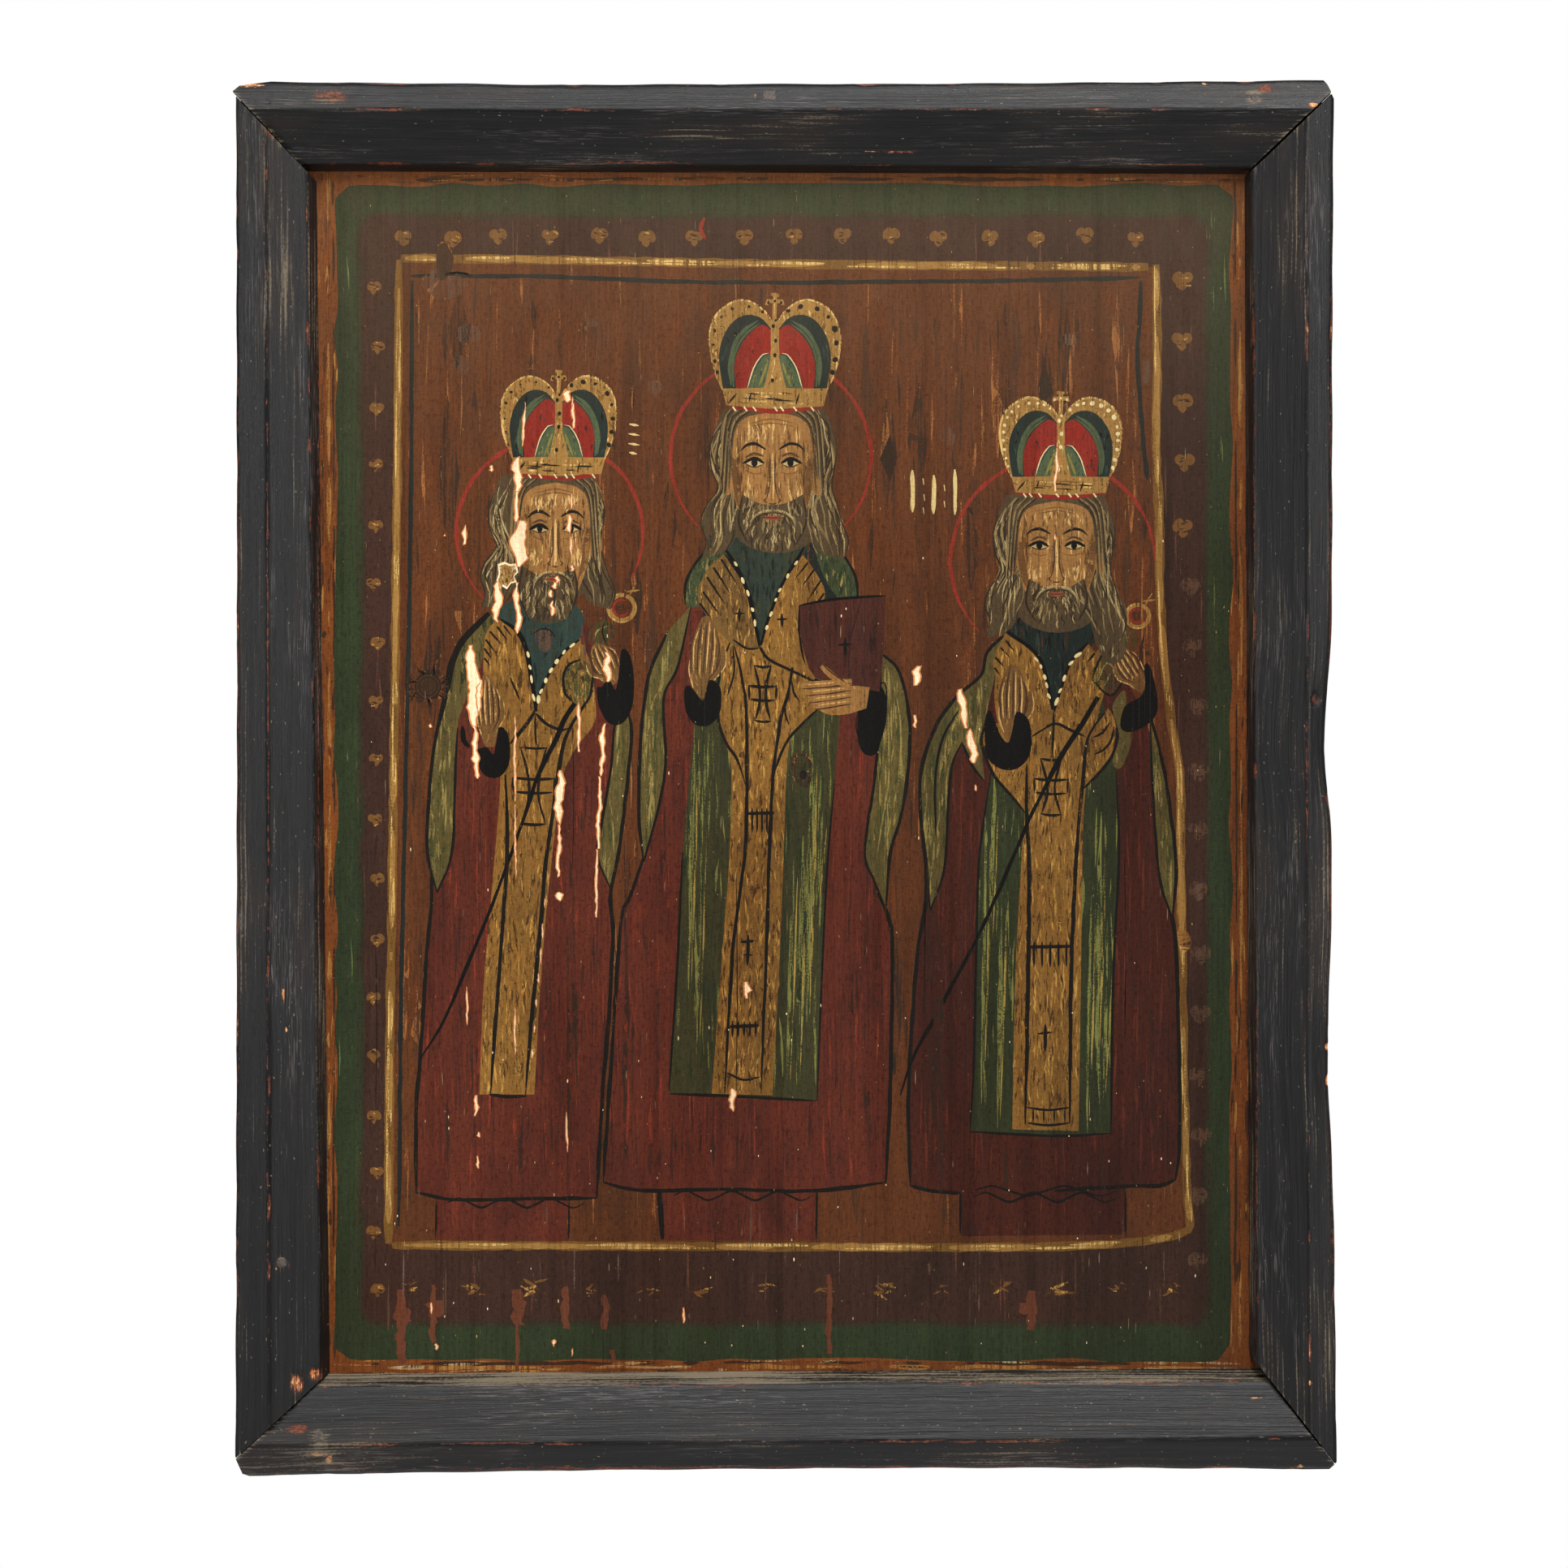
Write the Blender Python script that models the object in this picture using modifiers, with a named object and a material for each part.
# Folk icon: a painted wooden board with four mitred frame rails pegged to its front.
# The back lies in the plane y = 0 and the painting faces -Y. The origin is the middle of the back.

import math

import bmesh
import bpy
from mathutils import Vector

OBJECT_NAME = "religious_icon"

# Overall size of the frame, before the wander of its worn edges
FRAME_WIDTH = 0.500
FRAME_HEIGHT = 0.633

# The board, which stands back from the outer edges of the rails
BOARD_THICKNESS = 0.018
BOARD_INSET = 0.0015
BOARD_INSET_RIGHT = 0.0045
BOARD_EDGE_CHAMFER = 0.0008
JOINT_GAP = 0.0003

# Heights of the rail moulding above the face of the board
OUTER_EDGE_HEIGHT = 0.013
RIDGE_HEIGHT = 0.020
SIGHT_EDGE_HEIGHT = 0.010
OUTER_EDGE_ROUND = 0.0012
RIDGE_ROUND = 0.0009
SIGHT_EDGE_ROUND = 0.0008

# Each rail, from its first to its second end: the top and bottom rails run from left to right,
# the side rails from top to bottom. Distances run inwards from the frame's outer edge.
TOP_RIDGE = (0.0126, 0.0126)
TOP_SIGHT_EDGE = (0.0370, 0.0385)
TOP_WALL_RUN = 0.0030
BOTTOM_RIDGE = (0.0111, 0.0148)
BOTTOM_SIGHT_EDGE = (0.0378, 0.0407)
BOTTOM_WALL_RUN = 0.0055
LEFT_RIDGE = (0.0139, 0.0157)
LEFT_SIGHT_EDGE = (0.0317, 0.0387)
LEFT_WALL_RUN = 0.0040
RIGHT_RIDGE = (0.0122, 0.0107)
RIGHT_SIGHT_EDGE = (0.0367, 0.0341)
RIGHT_WALL_RUN = 0.0033

# How far the outer edge stands out of true at the first end, the middle and the second end
TOP_WANDER = (0.0006, -0.0007, 0.0011)
BOTTOM_WANDER = (0.0028, -0.0007, -0.0003)
LEFT_WANDER = (0.0002, -0.0001, 0.0005)
RIGHT_WANDER = (0.0005, -0.0002, 0.0018)

# Worn hollows in an outer edge: share of the rail's length, depth and reach
RIGHT_HOLLOWS = [(0.474, 0.0036, 0.022), (0.700, 0.0025, 0.034)]
TOP_HOLLOWS = [(0.300, 0.0005, 0.030)]
SMALL_WAVE = 0.00015
SMALL_WAVE_LENGTH = 0.047

# Mitres: distance of the joint below or above the corner, its slope, and how far it has opened
MITRES = {
    "top_left": {"drop": 0.0064, "angle": math.radians(47.0), "gap": 0.0006},
    "top_right": {"drop": 0.0043, "angle": math.radians(43.7), "gap": 0.0010},
    "bottom_left": {"drop": 0.0056, "angle": math.radians(42.3), "gap": 0.0004},
    "bottom_right": {"drop": 0.0041, "angle": math.radians(52.2), "gap": 0.0008},
}

# Worn corners: a point on each cut, measured inwards from the corner, and the slope of the cut
CORNER_CUTS = {
    "top_left": [(0.0161, -0.0004, math.radians(7.8)), (0.0006, 0.0024, math.radians(40.0))],
    "top_right": [(0.0039, -0.0005, math.radians(50.0)), (0.0022, 0.0018, math.radians(65.0))],
    "bottom_left": [(0.0028, -0.0015, math.radians(67.0)), (0.0028, -0.0015, math.radians(20.0))],
    "bottom_right": [(0.0004, 0.0017, math.radians(44.0))],
}
CORNER_SIGNS = {
    "top_left": (-1, 1),
    "top_right": (1, 1),
    "bottom_left": (-1, -1),
    "bottom_right": (1, -1),
}

# Pegs: how far they reach into the board, and their places from the frame's outer edges
PEG_REACH = 0.012
PEG_SIDES = 20
TOP_RIGHT_PEG_RADIUS = 0.0021
TOP_RIGHT_PEG_FROM_RIGHT = 0.0358
TOP_RIGHT_PEG_FROM_TOP = 0.0072
BOTTOM_LEFT_PEG_RADIUS = 0.0026
BOTTOM_LEFT_PEG_FROM_LEFT = 0.0382
BOTTOM_LEFT_PEG_FROM_BOTTOM = 0.0155
LEFT_PEG_RADIUS = 0.0026
LEFT_PEG_FROM_LEFT = 0.0209
LEFT_PEG_FROM_BOTTOM = 0.0950
SQUARE_PEG_WIDTH = 0.0066
SQUARE_PEG_HEIGHT = 0.0050
SQUARE_PEG_FROM_LEFT = 0.2430
SQUARE_PEG_FROM_TOP = 0.0060

# How finely a rail's outline is followed, and how far a rail is made too long before its mitres
STATION_SPACING = 0.009
END_ALLOWANCE = 0.012

BOARD_COLOUR = (0.095, 0.028, 0.010, 1.0)
RAIL_COLOUR = (0.045, 0.041, 0.043, 1.0)
PEG_COLOUR = (0.055, 0.046, 0.040, 1.0)


class Rail:
    """One rail of the frame, with its moulding at both ends and the wear of its outer edge."""

    def __init__(self, side, ridge, sight_edge, wall_run, wander, hollows, corners):
        self.side = side
        self.ridge = ridge
        self.sight_edge = sight_edge
        self.wall_run = wall_run
        self.wander = wander
        self.hollows = hollows
        self.corners = corners
        self.length = FRAME_WIDTH if side in ("top", "bottom") else FRAME_HEIGHT

    def place(self, share, inset, height):
        """World point at a share of the length, an inset from the edge and a height on the board."""
        y = -(BOARD_THICKNESS + JOINT_GAP + height)
        if self.side in ("top", "bottom"):
            x = (share - 0.5) * FRAME_WIDTH
            z = FRAME_HEIGHT / 2 - inset
            return Vector((x, y, z if self.side == "top" else -z))
        x = FRAME_WIDTH / 2 - inset
        z = (0.5 - share) * FRAME_HEIGHT
        return Vector((x if self.side == "right" else -x, y, z))

    def outer_edge(self, share):
        """Inset of the worn outer edge: a gentle curve, small waves and the hollows."""
        first, middle, last = self.wander
        bend = 2 * (first + last) - 4 * middle
        outwards = first + (last - first - bend) * share + bend * share * share
        along = share * self.length
        outwards += SMALL_WAVE * math.sin(math.tau * along / SMALL_WAVE_LENGTH)
        for hollow_share, depth, reach in self.hollows:
            distance = (share - hollow_share) * self.length
            outwards -= depth * math.exp(-0.5 * (distance / reach) ** 2)
        return -outwards

    def profile(self, share):
        """Cross-section at a share of the length, as (inset, height) from the back outwards."""
        outer = self.outer_edge(share)
        ridge = self.ridge[0] + (self.ridge[1] - self.ridge[0]) * share
        sight = self.sight_edge[0] + (self.sight_edge[1] - self.sight_edge[0]) * share
        outer_slope = (RIDGE_HEIGHT - OUTER_EDGE_HEIGHT) / (ridge - outer)
        inner_slope = (RIDGE_HEIGHT - SIGHT_EDGE_HEIGHT) / (sight - ridge)
        wall_slope = SIGHT_EDGE_HEIGHT / self.wall_run
        return [
            (outer, 0.0),
            (outer, OUTER_EDGE_HEIGHT - OUTER_EDGE_ROUND),
            (outer + OUTER_EDGE_ROUND, OUTER_EDGE_HEIGHT + outer_slope * OUTER_EDGE_ROUND),
            (ridge - RIDGE_ROUND, RIDGE_HEIGHT - outer_slope * RIDGE_ROUND),
            (ridge + RIDGE_ROUND, RIDGE_HEIGHT - inner_slope * RIDGE_ROUND),
            (sight - SIGHT_EDGE_ROUND, SIGHT_EDGE_HEIGHT + inner_slope * SIGHT_EDGE_ROUND),
            (sight + SIGHT_EDGE_ROUND / wall_slope, SIGHT_EDGE_HEIGHT - SIGHT_EDGE_ROUND),
            (sight + self.wall_run, 0.0),
        ]

    def height_at(self, share, inset):
        """Height of the moulding above the board at a share of the length and an inset."""
        section = self.profile(share)
        for (inset_a, height_a), (inset_b, height_b) in zip(section, section[1:]):
            if inset_a <= inset <= inset_b and inset_b > inset_a:
                return height_a + (height_b - height_a) * (inset - inset_a) / (inset_b - inset_a)
        return 0.0


RAILS = {
    "rail_top": Rail("top", TOP_RIDGE, TOP_SIGHT_EDGE, TOP_WALL_RUN, TOP_WANDER, TOP_HOLLOWS,
                     ("top_left", "top_right")),
    "rail_bottom": Rail("bottom", BOTTOM_RIDGE, BOTTOM_SIGHT_EDGE, BOTTOM_WALL_RUN, BOTTOM_WANDER, [],
                        ("bottom_left", "bottom_right")),
    "rail_left": Rail("left", LEFT_RIDGE, LEFT_SIGHT_EDGE, LEFT_WALL_RUN, LEFT_WANDER, [],
                      ("top_left", "bottom_left")),
    "rail_right": Rail("right", RIGHT_RIDGE, RIGHT_SIGHT_EDGE, RIGHT_WALL_RUN, RIGHT_WANDER,
                       RIGHT_HOLLOWS, ("top_right", "bottom_right")),
}


def clear_scene():
    for existing in list(bpy.context.scene.objects):
        bpy.data.objects.remove(existing, do_unlink=True)


def new_collection(name):
    collection = bpy.data.collections.new(name)
    bpy.context.scene.collection.children.link(collection)
    return collection


def wood_material(name, colour, roughness):
    material = bpy.data.materials.new(name)
    material.use_nodes = True
    shader = material.node_tree.nodes["Principled BSDF"]
    shader.inputs["Base Color"].default_value = colour
    shader.inputs["Roughness"].default_value = roughness
    shader.inputs["Metallic"].default_value = 0.0
    return material


def object_from_bmesh(name, shape, collection, material):
    shape.normal_update()
    bmesh.ops.recalc_face_normals(shape, faces=shape.faces)
    mesh = bpy.data.meshes.new(name)
    shape.to_mesh(mesh)
    shape.free()
    piece = bpy.data.objects.new(name, mesh)
    collection.objects.link(piece)
    if material is not None:
        mesh.materials.append(material)
    return piece


def cut_flat(shape, point, normal):
    """Removes what lies on the normal's side of a plane and closes the cut with one face."""
    everything = list(shape.verts) + list(shape.edges) + list(shape.faces)
    cut = bmesh.ops.bisect_plane(
        shape, geom=everything, dist=1e-7, plane_co=point, plane_no=normal, clear_outer=True)
    rim = [item for item in cut["geom_cut"] if isinstance(item, bmesh.types.BMEdge)]
    if rim:
        bmesh.ops.holes_fill(shape, edges=rim, sides=0)


def corner_point(corner, inset_x, inset_z):
    sign_x, sign_z = CORNER_SIGNS[corner]
    x = sign_x * (FRAME_WIDTH / 2 - inset_x)
    z = sign_z * (FRAME_HEIGHT / 2 - inset_z)
    return Vector((x, 0.0, z))


def wear_corner(shape, corner, inset):
    """Cuts the worn corner off a rail or the board; the cuts lie deeper by the inset."""
    sign_x, sign_z = CORNER_SIGNS[corner]
    for inset_x, inset_z, slope in CORNER_CUTS[corner]:
        outwards = Vector((sign_x * math.sin(slope), 0.0, sign_z * math.cos(slope)))
        point = corner_point(corner, inset_x, inset_z) - outwards * inset
        cut_flat(shape, point, outwards)


def cut_mitre(shape, corner, rail):
    """Cuts a rail's end along its mitre, on the rail's own side of the open joint."""
    mitre = MITRES[corner]
    sign_x, sign_z = CORNER_SIGNS[corner]
    start = corner_point(corner, 0.0, mitre["drop"])
    across = Vector((sign_x * math.sin(mitre["angle"]), 0.0, -sign_z * math.cos(mitre["angle"])))
    outwards = across if rail.side in ("top", "bottom") else -across
    cut_flat(shape, start - outwards * mitre["gap"] / 2, outwards)


def make_rail(name, rail, collection, material):
    shape = bmesh.new()
    stations = round((rail.length + 2 * END_ALLOWANCE) / STATION_SPACING)
    overrun = END_ALLOWANCE / rail.length
    rings = []
    for number in range(stations + 1):
        share = -overrun + (1 + 2 * overrun) * number / stations
        rings.append([shape.verts.new(rail.place(share, *spot)) for spot in rail.profile(share)])
    points = len(rings[0])
    for ring, following in zip(rings, rings[1:]):
        for index in range(points):
            beside = (index + 1) % points
            shape.faces.new((ring[index], ring[beside], following[beside], following[index]))
    shape.faces.new(rings[0])
    shape.faces.new(list(reversed(rings[-1])))
    for corner in rail.corners:
        cut_mitre(shape, corner, rail)
        wear_corner(shape, corner, 0.0)
    return object_from_bmesh(name, shape, collection, material)


def make_board(collection, material):
    left = -FRAME_WIDTH / 2 + BOARD_INSET
    right = FRAME_WIDTH / 2 - BOARD_INSET_RIGHT
    half_height = FRAME_HEIGHT / 2 - BOARD_INSET
    shape = bmesh.new()
    bmesh.ops.create_cube(shape, size=1.0)
    for vert in shape.verts:
        vert.co.x = left + (vert.co.x + 0.5) * (right - left)
        vert.co.y = (vert.co.y - 0.5) * BOARD_THICKNESS
        vert.co.z = vert.co.z * 2 * half_height
    for corner in CORNER_CUTS:
        wear_corner(shape, corner, BOARD_INSET)
    board = object_from_bmesh("board", shape, collection, material)
    chamfer = board.modifiers.new("edge chamfer", "BEVEL")
    chamfer.width = BOARD_EDGE_CHAMFER
    chamfer.segments = 1
    chamfer.limit_method = "ANGLE"
    chamfer.angle_limit = math.radians(60.0)
    return board


def flush_with_rail(shape, rail, front_y):
    """Moves the front end of a peg onto the moulding of the rail that it goes through."""
    for vert in shape.verts:
        if vert.co.y < front_y + 1e-6:
            if rail.side in ("top", "bottom"):
                share = vert.co.x / FRAME_WIDTH + 0.5
                inset = FRAME_HEIGHT / 2 - abs(vert.co.z)
            else:
                share = 0.5 - vert.co.z / FRAME_HEIGHT
                inset = FRAME_WIDTH / 2 - abs(vert.co.x)
            vert.co.y = -(BOARD_THICKNESS + JOINT_GAP + rail.height_at(share, inset))


def peg_shape(x, z, front_y, back_y, radius=None, width=None, height=None):
    """A round peg with the given radius, or a squared one, standing along Y."""
    shape = bmesh.new()
    if radius is not None:
        bmesh.ops.create_cone(shape, cap_ends=True, cap_tris=False, segments=PEG_SIDES,
                              radius1=radius, radius2=radius, depth=1.0)
        for vert in shape.verts:
            vert.co = Vector((x + vert.co.x, vert.co.z, z + vert.co.y))
    else:
        bmesh.ops.create_cube(shape, size=1.0)
        for vert in shape.verts:
            vert.co = Vector((x + vert.co.x * width, vert.co.y, z + vert.co.z * height))
    for vert in shape.verts:
        vert.co.y = front_y if vert.co.y < 0 else back_y
    return shape


def drill(piece, cutter):
    hole = piece.modifiers.new("hole for " + cutter.name, "BOOLEAN")
    hole.operation = "DIFFERENCE"
    hole.solver = "EXACT"
    hole.object = cutter


def make_peg(name, rail, x, z, pieces, collection, cutters, material, **section):
    """A peg that goes through its rail into the board, and the holes that it sits in."""
    above_rail = BOARD_THICKNESS + JOINT_GAP + RIDGE_HEIGHT
    back_y = -(BOARD_THICKNESS - PEG_REACH)
    shape = peg_shape(x, z, -above_rail, back_y, **section)
    flush_with_rail(shape, RAILS[rail], -above_rail)
    peg = object_from_bmesh(name, shape, collection, material)
    growth = {"radius": JOINT_GAP, "width": 2 * JOINT_GAP, "height": 2 * JOINT_GAP}
    hole_section = {key: value + growth[key] for key, value in section.items()}
    hole = peg_shape(x, z, -above_rail - RIDGE_HEIGHT, back_y + JOINT_GAP, **hole_section)
    cutter = object_from_bmesh(name + "_hole", hole, cutters, None)
    cutter.hide_render = True
    cutter.display_type = "WIRE"
    drill(pieces["board"], cutter)
    drill(pieces[rail], cutter)
    return peg


def build():
    clear_scene()
    collection = new_collection(OBJECT_NAME)
    cutters = new_collection("cutters")
    board_wood = wood_material("board_wood", BOARD_COLOUR, 0.55)
    rail_paint = wood_material("rail_paint", RAIL_COLOUR, 0.5)
    peg_wood = wood_material("peg_wood", PEG_COLOUR, 0.7)

    pieces = {"board": make_board(collection, board_wood)}
    for name, rail in RAILS.items():
        pieces[name] = make_rail(name, rail, collection, rail_paint)

    half_width = FRAME_WIDTH / 2
    half_height = FRAME_HEIGHT / 2
    make_peg("peg_top_right", "rail_top", half_width - TOP_RIGHT_PEG_FROM_RIGHT,
             half_height - TOP_RIGHT_PEG_FROM_TOP, pieces, collection, cutters, peg_wood,
             radius=TOP_RIGHT_PEG_RADIUS)
    make_peg("peg_bottom_left", "rail_bottom", BOTTOM_LEFT_PEG_FROM_LEFT - half_width,
             BOTTOM_LEFT_PEG_FROM_BOTTOM - half_height, pieces, collection, cutters, peg_wood,
             radius=BOTTOM_LEFT_PEG_RADIUS)
    make_peg("peg_left", "rail_left", LEFT_PEG_FROM_LEFT - half_width,
             LEFT_PEG_FROM_BOTTOM - half_height, pieces, collection, cutters, peg_wood,
             radius=LEFT_PEG_RADIUS)
    make_peg("peg_top_centre", "rail_top", SQUARE_PEG_FROM_LEFT - half_width,
             half_height - SQUARE_PEG_FROM_TOP, pieces, collection, cutters, peg_wood,
             width=SQUARE_PEG_WIDTH, height=SQUARE_PEG_HEIGHT)


build()
